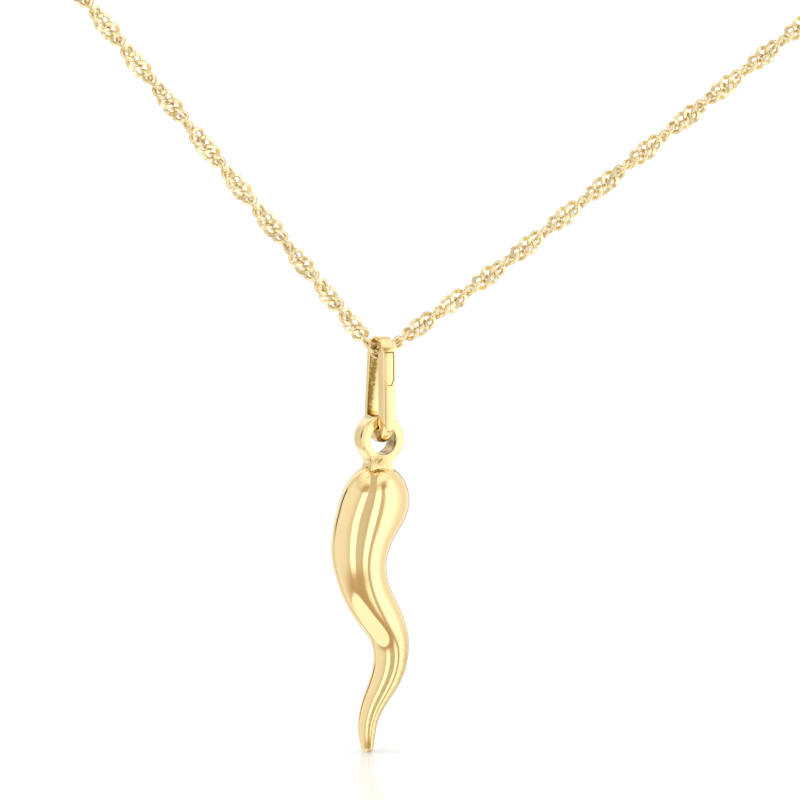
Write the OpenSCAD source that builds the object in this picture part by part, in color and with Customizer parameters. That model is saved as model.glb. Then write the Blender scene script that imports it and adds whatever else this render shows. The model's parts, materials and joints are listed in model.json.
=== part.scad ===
// Horn pendant on a fine twisted chain, in millimetres.
// The origin is at the nape of the neck, on the neck's side of the clasp. The
// wearer faces -Y and +Z is up, so the pendant hangs at the front, below the origin.

/* [Horn] */
// Greatest width of the horn, across its shoulder
horn_w = 4.3; // [3.4:0.1:6]
// Height of the rounded shoulder, from its top to the widest place
shoulder_h = 2.7; // [2:0.1:4]
// Height of the curved taper, from the widest place to the tip
taper_h = 14.35; // [10:0.05:22]
// Height of the rounding that ends the tip
tip_h = 0.25; // [0.1:0.05:0.5]

/* [Loop on the horn] */
// Diameter of the hole in the loop
loop_hole_d = 1.74; // [1.6:0.02:2.4]
// Thickness of the loop's wall, seen from the front
loop_wall = 0.43; // [0.3:0.01:0.7]
// Depth of the loop, from front to back
loop_depth = 1.45; // [1:0.05:1.8]
// Width of the neck between the loop and the horn
neck_w = 1.85; // [1.2:0.05:2.6]
// Height of the neck that shows between the loop and the shoulder
neck_h = 0.15; // [0.05:0.05:0.6]

/* [Bail] */
// Width of the bail's band
bail_w = 0.77; // [0.6:0.01:0.84]
// Drop from the chain's centre to the top of the bail's bottom bar
bail_drop = 4.52; // [3.6:0.02:7]
// Width of the slot, front to back, at the chain
slot_top_w = 1.3; // [1.2:0.05:1.8]
// Distance that the slot's lower end lies behind the chain's centre
slot_back = 0.1; // [0:0.05:0.3]
// Thickness of the band over the chain
band_top_t = 0.33; // [0.25:0.01:0.6]
// Thickness of the front band beside the chain
band_front_t = 0.62; // [0.4:0.01:0.9]
// Thickness of the front band at its lower end
band_low_t = 0.84; // [0.5:0.01:1.2]
// Thickness of the back band
band_back_t = 0.34; // [0.25:0.01:0.6]
// Height of the bottom bar that the horn's loop hangs on
bar_h = 0.97; // [0.8:0.01:1.3]
// Radius of the bail's two lower corners, seen from the side
bail_corner_r = 1; // [0.6:0.05:1.1]

/* [Chain] */
// Diameter of the tube that the twisted chain fills
chain_d = 0.9; // [0.7:0.05:1]

/* [Clasp] */
// Outer diameter of the ring of the clasp
clasp_d = 5; // [4:0.5:8]
// Diameter of the ring's wire
clasp_wire_d = 1.2; // [0.8:0.1:1.6]
// Outer diameter of the clasp's small eye
eye_d = 2.2; // [1.8:0.1:3]
// Diameter of the eye's wire
eye_wire_d = 0.7; // [0.5:0.1:0.8]

/* [Clearances] */
// Gap between the chain and the bail's throat
chain_gap = 0.08; // [0.05:0.01:0.15]
// Gap between the loop and the bar that it hangs on
hang_gap = 0.05; // [0.03:0.01:0.1]
// Gap between the loop and the slot on each side
side_gap = 0.08; // [0.05:0.01:0.2]
// Gap between the chain's ends and the clasp
clasp_gap = 0.2; // [0.1:0.05:0.5]

/* [Hidden] */
$fn = 48;
GOLD = "#dba550";
PALE_GOLD = "#e0b468";

// The chain's route from the clasp's eye, round the neck on the -X side, through
// the bail and back up on the +X side to the clasp's ring. Each row is a corner
// [x, y, z, bend radius]: the chain runs straight between the bends. With the clasp
// the whole loop is 457 mm long.
ROUTE = [
    [-32, 0.6, -1, 55], [-61, -30, -8, 45], [-62, -87, -24, 45], [-43, -123, -40, 32],
    [-10, -123, -78.25, 0.7], [-2, -123, -73.05, 30],
    [44, -123, -40, 32], [63, -87, -24, 45], [61, -30, -8, 45], [32, 0.6, -1, 55]
];
// Where the chain's centre passes through the bail, which is the bail's pivot
PIVOT = [-9.96, -123, -77.88];
CHAIN_STEP = 8;
CHAIN_SIDES = 8;

// Sections of the horn's taper, evenly spaced from the widest place to the tip:
// [sideways shift, width, depth], all as shares of the horn's width
TAPER = [
    [-0.090, 1.000, 0.975], [-0.145, 0.985, 0.915], [-0.215, 0.905, 0.850],
    [-0.270, 0.830, 0.805], [-0.295, 0.775, 0.770], [-0.285, 0.738, 0.730],
    [-0.247, 0.718, 0.690], [-0.185, 0.725, 0.667], [-0.102, 0.734, 0.650],
    [-0.012, 0.712, 0.628], [0.075, 0.645, 0.585], [0.143, 0.555, 0.535],
    [0.166, 0.495, 0.494], [0.147, 0.468, 0.460], [0.098, 0.457, 0.432],
    [0.025, 0.435, 0.392], [-0.063, 0.380, 0.342], [-0.136, 0.314, 0.296],
    [-0.180, 0.268, 0.265], [-0.187, 0.232, 0.232], [-0.175, 0.172, 0.172]
];
// Sideways shift of the shoulder's top, as a share of the horn's width
TOP_SHIFT = -0.03;
HORN_SIDES = 36;
RINGS_A_ROW = 3;

chain_r = chain_d / 2;
throat_r = chain_r + chain_gap;
// The throat widens to this radius at the band's two faces, where the chain turns up
throat_mouth_r = throat_r + bail_w * 0.3;
slot_low_w = loop_depth + 2 * side_gap;
slot_corner_r = 0.1;
// How far a cut runs past the face that it starts from
cut_over = 0.001;
bar_top = -bail_drop;
bail_bottom = bar_top - bar_h;
bail_top = throat_r + band_top_t;
loop_r = loop_hole_d / 2 + loop_wall;
loop_z = bar_top + hang_gap - loop_hole_d / 2;
shoulder_top = loop_z - loop_r - neck_h;

// Points where straight lines touch a ring of circles [x, y, r] in turning order
function touching_points(circles) = [
    for (i = [0:len(circles) - 1])
        let (a = circles[i], b = circles[(i + 1) % len(circles)],
             along = [b[0] - a[0], b[1] - a[1]], u = along / norm(along),
             s = (a[2] - b[2]) / norm(along), c = sqrt(1 - s * s),
             n = [u[0] * s + u[1] * c, u[1] * s - u[0] * c])
            each [[a[0], a[1]] + a[2] * n, [b[0], b[1]] + b[2] * n]
];

// A plate across X whose outline, in Y and Z, wraps round the circles
module wrapped_plate(circles, width) {
    rotate([90, 0, 90]) linear_extrude(width, center = true) {
        polygon(touching_points(circles));
        for (c = circles) translate([c[0], c[1]]) circle(c[2]);
    }
}

// The bail's outside, seen from the side
function bail_circles() = let (
        front = -slot_top_w / 2 - band_front_t, back = slot_top_w / 2 + band_back_t,
        top_r = (back - front) / 2, low_r = bail_corner_r,
        low_front = slot_back - slot_low_w / 2 - band_low_t,
        low_back = slot_back + slot_low_w / 2 + band_back_t
    ) [
        [(front + back) / 2, bail_top - top_r, top_r],
        [low_front + low_r, bail_bottom + low_r, low_r],
        [low_back - low_r, bail_bottom + low_r, low_r]
    ];

// The slot's outline, narrow round the chain and wide enough below for the loop
function slot_circles() = let (side = slot_low_w / 2 - slot_corner_r) [
        [0, throat_r - slot_top_w / 2, slot_top_w / 2],
        [slot_back - side, bar_top + slot_corner_r, slot_corner_r],
        [slot_back + side, bar_top + slot_corner_r, slot_corner_r]
    ];

// A shape in X and Z, pushed through in Y about the slot's middle
module through_y(depth) {
    translate([0, slot_back, 0]) rotate([90, 0, 0])
        linear_extrude(depth, center = true) children();
}

// The bail seen from the front: a band with a rounded lower end
module round_end_profile() {
    low = bail_bottom + bail_w / 2;
    through_y(4 * slot_low_w) {
        translate([0, low]) circle(d = bail_w);
        translate([-bail_w / 2, low]) square([bail_w, bail_top - low]);
    }
}

// What is cut from the bottom bar's upper edges, so that the loop can roll on it
module bar_rounding() {
    through_y(slot_low_w) difference() {
        translate([-bail_w, bar_top - bail_w / 2]) square([2 * bail_w, bail_w / 2 + cut_over]);
        translate([0, bar_top - bail_w / 2]) circle(d = bail_w);
    }
}

// The throat widens from the band's middle to both faces
module throat() {
    slope = (throat_mouth_r - throat_r) / (bail_w / 2);
    rotate([0, 90, 0]) rotate_extrude()
        polygon([
            [0, -bail_w], [throat_r + slope * bail_w, -bail_w],
            [throat_r, 0], [throat_r + slope * bail_w, bail_w], [0, bail_w]
        ]);
}

module bail() {
    color(GOLD) translate(PIVOT) difference() {
        intersection() {
            wrapped_plate(bail_circles(), bail_w);
            round_end_profile();
        }
        wrapped_plate(slot_circles(), 2 * bail_w);
        throat();
        bar_rounding();
    }
}

// A smooth curve through the rows of a table, at a place counted in rows
function table_at(rows, place) = let (
        last = len(rows) - 1, i = min(floor(place), last - 1), t = place - i,
        a = rows[max(i - 1, 0)], b = rows[i], c = rows[i + 1], d = rows[min(i + 2, last)]
    ) b + (t / 2) * ((c - a) + t * ((2 * a - 5 * b + 4 * c - d) + t * (3 * (b - c) + d - a)));

// Sections [height, shift, width, depth] of the shoulder, the taper and the tip
function horn_sections() = let (
        first = TAPER[0], last = TAPER[len(TAPER) - 1],
        rings = (len(TAPER) - 1) * RINGS_A_ROW
    ) [
        for (angle = [20:10:80]) let (down = 1 - cos(angle), size = sin(angle))
            [-shoulder_h * down, TOP_SHIFT + (first[0] - TOP_SHIFT) * down * down,
             first[1] * size, first[2] * size],
        for (k = [0:rings]) let (row = table_at(TAPER, k / RINGS_A_ROW))
            [-shoulder_h - taper_h * k / rings, row[0], row[1], row[2]],
        for (angle = [20:20:60])
            [-shoulder_h - taper_h - tip_h * sin(angle), last[0],
             last[1] * cos(angle), last[2] * cos(angle)]
    ];

// A closed skin over rings of points
module skin(rings) {
    n = len(rings[0]);
    m = len(rings);
    polyhedron(
        points = [for (ring = rings) each ring],
        faces = [
            [for (k = [n - 1:-1:0]) k],
            for (j = [0:m - 2], k = [0:n - 1]) let (a = j * n + k, b = j * n + (k + 1) % n)
                each [[a, b, a + n], [b, b + n, a + n]],
            [for (k = [0:n - 1]) (m - 1) * n + k]
        ]
    );
}

module horn_body() {
    skin([
        for (s = horn_sections()) [
            for (k = [0:HORN_SIDES - 1]) let (angle = 360 * k / HORN_SIDES)
                [horn_w * (s[1] + s[2] / 2 * cos(angle)),
                 horn_w * s[3] / 2 * sin(angle), s[0]]
        ]
    ]);
}

// The loop that the horn hangs by, its hole running front to back
module horn_loop() {
    straight = loop_depth - loop_wall;
    rotate([90, 0, 0]) rotate_extrude() translate([loop_r - loop_wall / 2, 0]) {
        square([loop_wall, straight], center = true);
        for (side = [-1, 1]) translate([0, side * straight / 2]) circle(d = loop_wall);
    }
}

// The neck runs from inside the loop's wall down into the shoulder
module horn_neck() {
    high = loop_z - loop_hole_d / 2 - loop_wall / 3;
    low = shoulder_top - shoulder_h / 4;
    intersection() {
        translate([0, 0, low]) cylinder(h = high - low, d = neck_w);
        translate([0, 0, (high + low) / 2]) cube([2 * neck_w, loop_depth, high - low], center = true);
    }
}

module horn() {
    color(GOLD) translate(PIVOT + [0, slot_back, 0]) {
        translate([0, 0, loop_z]) horn_loop();
        horn_neck();
        translate([0, 0, shoulder_top]) horn_body();
    }
}

// Points round one bend of the route, about every CHAIN_STEP along it
function bend(before, corner, after) = let (
        a = before - corner, b = after - corner, u = a / norm(a), v = b / norm(b)
    ) [u, v, 180 - acos(u * v)];

function bend_points(before, corner, after, radius) = let (
        b = bend(before, corner, after), turn = b[2], reach = radius * tan(turn / 2),
        mid = (b[0] + b[1]) / norm(b[0] + b[1]), centre = corner + mid * radius / cos(turn / 2),
        p = corner + b[0] * reach - centre, q = corner + b[1] * reach - centre,
        steps = max(4, ceil(radius * turn * PI / 180 / CHAIN_STEP))
    ) [for (k = [0:steps]) let (t = k / steps)
        centre + (p * sin((1 - t) * turn) + q * sin(t * turn)) / sin(turn)];

// The straight run between two points, without its ends
function run_points(a, b) = let (steps = ceil(norm(b - a) / CHAIN_STEP))
    [for (k = [1:1:steps - 1]) a + (b - a) * k / steps];

function xyz(row) = [row[0], row[1], row[2]];
function joined(lists) = [
    for (i = [0:len(lists) - 1])
        each concat(lists[i], i + 1 < len(lists) ?
            run_points(lists[i][len(lists[i]) - 1], lists[i + 1][0]) : [])
];

eye_reach = clasp_d / 2 + eye_d - (clasp_wire_d + eye_wire_d) / 2;
clasp_y = clasp_wire_d / 2;
function chain_path() = let (
        first = [-eye_reach - clasp_gap, clasp_y, 0], last = [clasp_d / 2 + clasp_gap, clasp_y, 0],
        corners = [first, for (row = ROUTE) xyz(row), last]
    ) joined([
        [first],
        for (i = [0:len(ROUTE) - 1])
            bend_points(corners[i], corners[i + 1], corners[i + 2], ROUTE[i][3]),
        [last]
    ]);

// Rings of points across a path: each ring's frame is level, square to the path
function path_rings(path, r) = [
    for (i = [0:len(path) - 1])
        let (a = path[max(i - 1, 0)], b = path[min(i + 1, len(path) - 1)],
             t = (b - a) / norm(b - a), side = cross(t, [0, 0, 1]), s = side / norm(side),
             u = cross(s, t))
            [for (k = [0:CHAIN_SIDES - 1]) let (angle = 360 * (k + 0.5) / CHAIN_SIDES)
                path[i] + r * (s * cos(angle) + u * sin(angle))]
];

module chain() {
    color(PALE_GOLD) skin(path_rings(chain_path(), chain_r));
}

module wire_ring(outer_d, wire_d) {
    rotate([90, 0, 0]) rotate_extrude() translate([(outer_d - wire_d) / 2, 0]) circle(d = wire_d);
}

module clasp() {
    color(GOLD) translate([0, clasp_y, 0]) {
        wire_ring(clasp_d, clasp_wire_d);
        translate([eye_d / 2 - eye_reach, 0, 0]) wire_ring(eye_d, eye_wire_d);
    }
}

chain();
bail();
horn();
clasp();
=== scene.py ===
# %% [markdown]
# # A gold horn on a twisted chain
# The real piece is a small cast horn, polished all over. A loop at its head hangs on the
# round bottom bar of a long oval bail. The bail hangs on a fine chain of flat, round
# links, and each link is turned a little from the one before, so the chain looks like a
# ribbon twisted round its own middle.
#
# The frame comes first. It is the solid model of the same piece, at its real size. Every
# piece made here goes straight into its place in that frame.

# %% Load the solid model
import json
import math

import bpy
import numpy as np
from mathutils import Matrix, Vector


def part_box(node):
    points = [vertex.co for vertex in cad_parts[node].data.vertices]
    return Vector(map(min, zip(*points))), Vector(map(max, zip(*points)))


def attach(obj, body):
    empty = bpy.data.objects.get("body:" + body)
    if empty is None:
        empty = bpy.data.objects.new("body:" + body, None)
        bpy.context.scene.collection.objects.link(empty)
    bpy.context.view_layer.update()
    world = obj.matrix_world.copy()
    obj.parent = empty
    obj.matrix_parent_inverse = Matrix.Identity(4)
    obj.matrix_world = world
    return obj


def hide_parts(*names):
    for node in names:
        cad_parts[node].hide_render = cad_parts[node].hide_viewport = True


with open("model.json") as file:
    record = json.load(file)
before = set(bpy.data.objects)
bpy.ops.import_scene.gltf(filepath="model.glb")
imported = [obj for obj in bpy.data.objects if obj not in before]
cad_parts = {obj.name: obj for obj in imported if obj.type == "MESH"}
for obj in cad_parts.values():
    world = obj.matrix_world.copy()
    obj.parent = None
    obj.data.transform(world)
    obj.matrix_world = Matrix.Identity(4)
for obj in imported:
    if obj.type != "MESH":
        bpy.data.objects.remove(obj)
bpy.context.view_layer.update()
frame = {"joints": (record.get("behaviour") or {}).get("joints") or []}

MM = 0.001


# %% [markdown]
# ## Places that the pieces share
# The two hinges of the solid model give the most important places: the point where the
# chain runs through the bail, and the bar that the horn's loop hangs on. The script works
# in millimetres, which suit jewellery, and turns them into metres when it makes a mesh.

# %% Read the hinges
def hinge_place(name):
    for joint in frame["joints"]:
        if joint["name"] == name:
            return np.array(joint["pos_m"]) / MM


PIVOT = hinge_place("bail_swing")
BAR = hinge_place("horn_swing")
SLOT_BACK = BAR[1] - PIVOT[1]
BAR_TOP = -4.52
LOOP_HOLE_R = 0.87
LOOP_R = 1.35
LOOP_Z = -5.34
SHOULDER_TOP = -6.79
print("chain through the bail at", PIVOT, "and the bar at", BAR, "mm")

# %% [markdown]
# ## The camera
# The photograph was taken from far away with a long lens, slightly above the pendant and
# from its left. The lens follows from the scale: so many pixels of the picture for each
# millimetre at the pendant, seen from this distance.

# %% Set up the camera
VIEW_TURN = math.radians(-22)
VIEW_RISE = math.radians(5)
CAMERA_REACH = 450.0
PHOTO_PX = 800
PX_PER_MM = 16.8
SENSOR = 36.0
AIM = PIVOT + np.array([1.034, -0.698, -2.965])

TO_CAMERA = np.array([
    math.sin(VIEW_TURN) * math.cos(VIEW_RISE),
    -math.cos(VIEW_TURN) * math.cos(VIEW_RISE),
    math.sin(VIEW_RISE),
])
ACROSS = np.array([math.cos(VIEW_TURN), math.sin(VIEW_TURN), 0.0])
AHEAD = np.array([math.sin(VIEW_TURN), -math.cos(VIEW_TURN), 0.0])

camera_data = bpy.data.cameras.new("camera")
camera_data.sensor_width = SENSOR
camera_data.lens = SENSOR * CAMERA_REACH * PX_PER_MM / PHOTO_PX
camera_data.clip_start = 0.01
camera = bpy.data.objects.new("camera", camera_data)
camera.location = ((AIM + TO_CAMERA * CAMERA_REACH) * MM).tolist()
camera.rotation_euler = (math.pi / 2 - VIEW_RISE, 0, VIEW_TURN)
bpy.context.scene.collection.objects.link(camera)
bpy.context.scene.camera = camera
bpy.context.scene.view_settings.view_transform = "Standard"
print("lens", round(camera_data.lens, 1), "mm")

# %% [markdown]
# ## Helpers for node trees
# A material or a world is a tree of nodes. These helpers add a node, feed its sockets,
# work out a number, mix two colours, draw a soft random pattern and start a group, so that
# the steps below stay short.

# %% Define the node helpers
def add_node(tree, kind, label="", **settings):
    node = tree.nodes.new(kind)
    node.label = label
    for name, value in settings.items():
        setattr(node, name, value)
    return node


def feed(tree, socket, value):
    """Join another node's output to a socket, or set a plain value on it."""
    if isinstance(value, bpy.types.NodeSocket):
        tree.links.new(value, socket)
    else:
        socket.default_value = value


def feed_all(tree, node, **values):
    """Feed a node's sockets by their names, with _ for each space."""
    for name, value in values.items():
        feed(tree, node.inputs[name.replace("_", " ")], value)


def calculate(tree, operation, *values, clamp=False):
    node = add_node(tree, "ShaderNodeMath", operation=operation, use_clamp=clamp)
    for socket, value in zip(node.inputs, values):
        feed(tree, socket, value)
    return node.outputs[0]


def mix_colours(tree, factor, first, second, label=""):
    node = add_node(tree, "ShaderNodeMix", label, data_type="RGBA")
    feed_all(tree, node, Factor=factor, A=first, B=second)
    return node.outputs["Result"]


def soft_noise(tree, label, place, scale, detail, roughness):
    node = add_node(tree, "ShaderNodeTexNoise", label)
    feed_all(tree, node, Vector=place, Scale=scale, Detail=detail, Roughness=roughness)
    return node.outputs["Fac"]


def new_group(name, inputs, outputs):
    """A node group with number sockets, what it is given and what it puts out."""
    tree = bpy.data.node_groups.new(name, "ShaderNodeTree")
    for title, value in inputs.items():
        socket = tree.interface.new_socket(name=title, in_out="INPUT", socket_type="NodeSocketFloat")
        socket.default_value = value
    for title in outputs:
        tree.interface.new_socket(name=title, in_out="OUTPUT", socket_type="NodeSocketFloat")
    return tree, tree.nodes.new("NodeGroupInput").outputs, tree.nodes.new("NodeGroupOutput").inputs


# %% [markdown]
# ## The light round the piece
# Polished gold shows nothing but what stands round it, so a jeweller's photographer builds
# a tent: white cloth on all sides, with a few gaps. The gaps draw the dark lines on the
# gold. The gap in front is where the camera looks in. The cloth's lower edge draws the
# line across the horn's lower curve, and below it the gold shows the bright table.
#
# Three thin dark things show too. A slit in the top light draws the stripe down the middle
# of the dome, the tent's stand draws a nearly black line inside the left outline, and the
# seams between the cloths behind draw the outline itself.
#
# Painting the tent on the world is the plainest way to have it all round. Only reflections
# see its gaps. The camera itself and the white floor see an even white light.

# %% Describe the tent
CLOTH_ROUND = [
    # [degrees to the right of the camera, brightness of the cloth there]
    (-180, 1.10), (-165, 1.20), (-150, 1.15), (-141, 0.80), (-128, 0.84), (-120, 1.00),
    (-72, 0.97), (-58, 0.82), (-52, 0.82), (-48, 1.66), (-31, 1.60), (-28, 0.74),
    (-12, 0.74), (1, 0.66), (5, 1.58), (22, 1.64), (25, 0.66), (35, 0.66),
    (39, 1.20), (50, 1.55), (72, 1.56), (90, 1.16), (104, 0.99), (122, 0.96),
    (134, 1.04), (148, 1.08), (160, 1.06), (180, 1.10),
]
CLOTH_SEAMS = [
    # [degrees to the right of the camera, how much a dark seam between two cloths shows]
    (-180, 0.0), (-174, 0.0), (-170, 0.5), (-161, 0.5), (-156, 0.0),
    (155, 0.0), (161, 0.8), (170, 0.8), (174, 0.0), (180, 0.0),
]
STAND_ROUND = [(-180, 0.0), (-134, 0.0), (-132, 1.0), (-127, 1.0), (-124, 0.0), (180, 0.0)]
STAND_UP = [(-90, 0.0), (-3, 0.0), (1, 1.0), (18, 1.0), (21, 0.0), (90, 0.0)]
TABLE_AND_TOP = [
    # [degrees above level, brightness there] under and over the cloth
    (-90, 1.08), (-50, 1.26), (-30, 1.30), (30, 1.18), (54, 1.10), (64, 1.20), (90, 1.12),
]
CLOTH_SHOWS = [(-90, 0.0), (-36, 0.0), (-34.5, 1.0), (47, 1.0), (49, 0.0), (90, 0.0)]
LOW_GAP = [(-90, 1.0), (-33, 1.0), (-30, 0.8), (-27, 0.45), (-22, 0.12), (-16, 0.0)]
LOW_GAP_ROUND = [(-115, 0.0), (-92, 0.45), (-62, 0.95), (0, 1.0), (28, 1.0), (40, 0.0)]
TOP_GAP = [(37, 0.0), (42, 0.9), (50, 1.0), (56, 0.6), (62, 0.0)]
TOP_GAP_ROUND = [
    (-132, 0.1), (-118, 0.3), (-75, 0.3), (-55, 1.0), (-38, 1.0), (-28, 0.45),
    (20, 0.45), (26, 1.0), (42, 1.0), (62, 0.0),
]
SLIT_ACROSS = [(-90, 0.0), (-14, 0.0), (-12, 1.0), (6, 1.0), (8, 0.0), (90, 0.0)]
SLIT_UP = [(-90, 0.0), (40, 0.0), (44, 1.0), (84, 1.0), (88, 0.0), (90, 0.0)]
CLOTH_LEAN = -0.2
TABLE_LEAN = 0.11
TABLE_PEAK = math.radians(-60)
BRIGHTEST = 2.0
PLAIN_WHITE = 1.05
GAP_COLOUR = (0.57, 0.43, 0.28)
SLIT_COLOUR = (0.68, 0.63, 0.52)
SEAM_COLOUR = (0.22, 0.17, 0.12)
STAND_COLOUR = (0.02, 0.02, 0.02)
WARMTH = (0.0, 0.06, 0.18)
WARM_BELOW = 0.35

# %% Find the direction that is looked at
world = bpy.data.worlds.new("light_tent")
bpy.context.scene.world = world
world.use_nodes = True
tent = world.node_tree
tent.nodes.clear()
looked_at = add_node(tent, "ShaderNodeTexCoord").outputs["Generated"]


def direction_share(axis):
    """How far the looked-at direction points along one axis."""
    dot = add_node(tent, "ShaderNodeVectorMath", operation="DOT_PRODUCT")
    feed(tent, dot.inputs[0], looked_at)
    feed(tent, dot.inputs[1], tuple(float(v) for v in axis))
    return dot.outputs["Value"]


def ramp_of(title, angle, stops, reach, brightest=None):
    """A ramp over an angle in radians that runs from -reach to +reach degrees.

    With a brightest value it paints cloth, and dim cloth is a little warmer than bright."""
    place = add_node(tent, "ShaderNodeMapRange")
    feed_all(tent, place, Value=angle, From_Min=math.radians(-reach), From_Max=math.radians(reach))
    node = add_node(tent, "ShaderNodeValToRGB", title)
    feed(tent, node.inputs["Fac"], place.outputs["Result"])
    ramp = node.color_ramp
    while len(ramp.elements) < len(stops):
        ramp.elements.new(0.5)
    for element, (degrees, value) in zip(ramp.elements, stops):
        element.position = (degrees + reach) / (2 * reach)
        if brightest is None:
            element.color = (value, value, value, 1.0)
        else:
            dim = min(1.0, max(0.0, (1 - value) / WARM_BELOW))
            element.color = [value / brightest * (1 - dim * w) for w in WARMTH] + [1.0]
    return node.outputs["Color"]


round_angle = calculate(tent, "ARCTAN2", direction_share(ACROSS), direction_share(AHEAD))
up_angle = calculate(tent, "ARCSINE", direction_share((0, 0, 1)))
across_angle = calculate(tent, "ARCSINE", direction_share(ACROSS))
over = calculate(tent, "MAXIMUM", up_angle, 0.0)
leaned_round = calculate(tent, "MULTIPLY_ADD", over, CLOTH_LEAN, round_angle)
under = calculate(tent, "LESS_THAN", up_angle, 0.0)
from_peak = calculate(tent, "ABSOLUTE", calculate(tent, "SUBTRACT", round_angle, TABLE_PEAK))
peak_under = calculate(tent, "MULTIPLY", from_peak, under)
leaned_up = calculate(tent, "MULTIPLY_ADD", peak_under, TABLE_LEAN, up_angle)

# %% Paint the tent on the world
cloth = ramp_of("cloth round the piece", leaned_round, CLOTH_ROUND, 180, BRIGHTEST)
ends = ramp_of("table and top light", up_angle, TABLE_AND_TOP, 90, BRIGHTEST)
cloth_shows = ramp_of("where the cloth shows", leaned_up, CLOTH_SHOWS, 90)
over_table = calculate(tent, "MULTIPLY", ramp_of("gap over the table", up_angle, LOW_GAP, 90), cloth_shows)
low_gap = calculate(
    tent, "MULTIPLY", over_table, ramp_of("its reach round", leaned_round, LOW_GAP_ROUND, 180))
top_gap = calculate(
    tent, "MULTIPLY", ramp_of("gap under the top light", leaned_up, TOP_GAP, 90),
    ramp_of("its reach round", leaned_round, TOP_GAP_ROUND, 180))
slit = calculate(
    tent, "MULTIPLY", ramp_of("slit in the top light", across_angle, SLIT_ACROSS, 90),
    ramp_of("its reach up", up_angle, SLIT_UP, 90))
seams = ramp_of("seams between the cloths", round_angle, CLOTH_SEAMS, 180)
stand = calculate(
    tent, "MULTIPLY", ramp_of("stand of the tent", round_angle, STAND_ROUND, 180),
    ramp_of("its height", up_angle, STAND_UP, 90))


def paint_over(share, under_it, colour):
    return mix_colours(tent, share, under_it, tuple(v / BRIGHTEST for v in colour) + (1.0,))


painted = mix_colours(tent, cloth_shows, ends, paint_over(seams, cloth, SEAM_COLOUR))
painted = paint_over(calculate(tent, "ADD", low_gap, top_gap), painted, GAP_COLOUR)
painted = paint_over(slit, painted, SLIT_COLOUR)
painted = paint_over(stand, painted, STAND_COLOUR)

seen_in_gold = add_node(tent, "ShaderNodeBackground")
feed_all(tent, seen_in_gold, Color=painted, Strength=BRIGHTEST)
seen_plainly = add_node(tent, "ShaderNodeBackground")
feed_all(tent, seen_plainly, Color=(1, 1, 1, 1), Strength=PLAIN_WHITE)
choose = add_node(tent, "ShaderNodeMixShader")
feed(tent, choose.inputs["Fac"], add_node(tent, "ShaderNodeLightPath").outputs["Is Glossy Ray"])
feed(tent, choose.inputs[1], seen_plainly.outputs[0])
feed(tent, choose.inputs[2], seen_in_gold.outputs[0])
feed(tent, add_node(tent, "ShaderNodeOutputWorld").inputs["Surface"], choose.outputs[0])
print("tent painted with", len(CLOTH_ROUND), "stops round and", len(TABLE_AND_TOP), "up")

# %% [markdown]
# ## The floor and a soft top light
# The horn's tip just touches a white, slightly glossy sheet. One soft lamp straight above
# gives the tip its faint shadow. It is a far lamp, so the whole sheet is equally bright. The
# gold doesn't see the sheet itself, because the tent is already painted with the sheet's far
# edge, which draws a line on the horn's lower curve.

# %% Lay the floor and hang the lamp
FLOOR_GAP = 0.03
FLOOR_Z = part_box("horn")[0].z / MM - FLOOR_GAP
FLOOR_HALF = 1500.0
SHEET_WHITE = 0.87
SHEET_ROUGH = 0.1
SHEET_GLOSS = 0.04
LAMP_SPREAD = math.radians(30)
LAMP_STRENGTH = 0.7


def make_floor():
    corners = [(-1, -1), (1, -1), (1, 1), (-1, 1)]
    mesh = bpy.data.meshes.new("floor")
    points = [(PIVOT[0] + x * FLOOR_HALF, PIVOT[1] + y * FLOOR_HALF, FLOOR_Z) for x, y in corners]
    mesh.from_pydata([tuple(v * MM for v in p) for p in points], [], [(0, 1, 2, 3)])
    floor = bpy.data.objects.new("floor", mesh)
    bpy.context.scene.collection.objects.link(floor)
    material = bpy.data.materials.new("white_sheet")
    material.use_nodes = True
    white = (SHEET_WHITE, SHEET_WHITE, SHEET_WHITE, 1)
    feed_all(material.node_tree, material.node_tree.nodes["Principled BSDF"], Base_Color=white,
             Roughness=SHEET_ROUGH, Specular_IOR_Level=SHEET_GLOSS)
    mesh.materials.append(material)
    floor.visible_glossy = False


make_floor()
lamp_data = bpy.data.lights.new("soft_lamp", "SUN")
lamp_data.angle = LAMP_SPREAD
lamp_data.energy = LAMP_STRENGTH
lamp = bpy.data.objects.new("soft_lamp", lamp_data)
lamp.visible_glossy = False
bpy.context.scene.collection.objects.link(lamp)
print("floor at", round(FLOOR_Z, 2), "mm")

# %% [markdown]
# ## Gold that was polished by hand
# Cast gold comes from the mould rough. A buff makes it a mirror, but never a perfect one:
# the surface keeps slow waves about a millimetre long, and the last buff leaves hairlines
# that only soften the reflection a little. Both effects are needed by every gold piece,
# so they are node groups with their own values in each material.

# %% Make the node group for the buffed surface
HAIR_STRETCH = (26000, 26000, 2600)
HAIR_HEIGHT = 0.045


def buffed_surface_group():
    inputs = {"Waves": 1.0, "Hairlines": 1.0, "Wave Scale": 700.0}
    tree, given, result = new_group("buffed_surface", inputs, ["Height", "Haze"])
    place = add_node(tree, "ShaderNodeTexCoord").outputs["Object"]
    slow = soft_noise(tree, "slow waves of the buff", place, given["Wave Scale"], 1.5, 0.35)
    stretched = add_node(tree, "ShaderNodeMapping")
    feed_all(tree, stretched, Scale=HAIR_STRETCH, Vector=place)
    hair = soft_noise(tree, "hairlines along the horn", stretched.outputs["Vector"], 1.0, 2.0, 0.6)
    waves = calculate(tree, "MULTIPLY", slow, given["Waves"])
    lines = calculate(tree, "MULTIPLY", hair, given["Hairlines"])
    feed(tree, result["Height"], calculate(tree, "MULTIPLY_ADD", lines, HAIR_HEIGHT, waves))
    feed(tree, result["Haze"], lines)
    return tree


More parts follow.
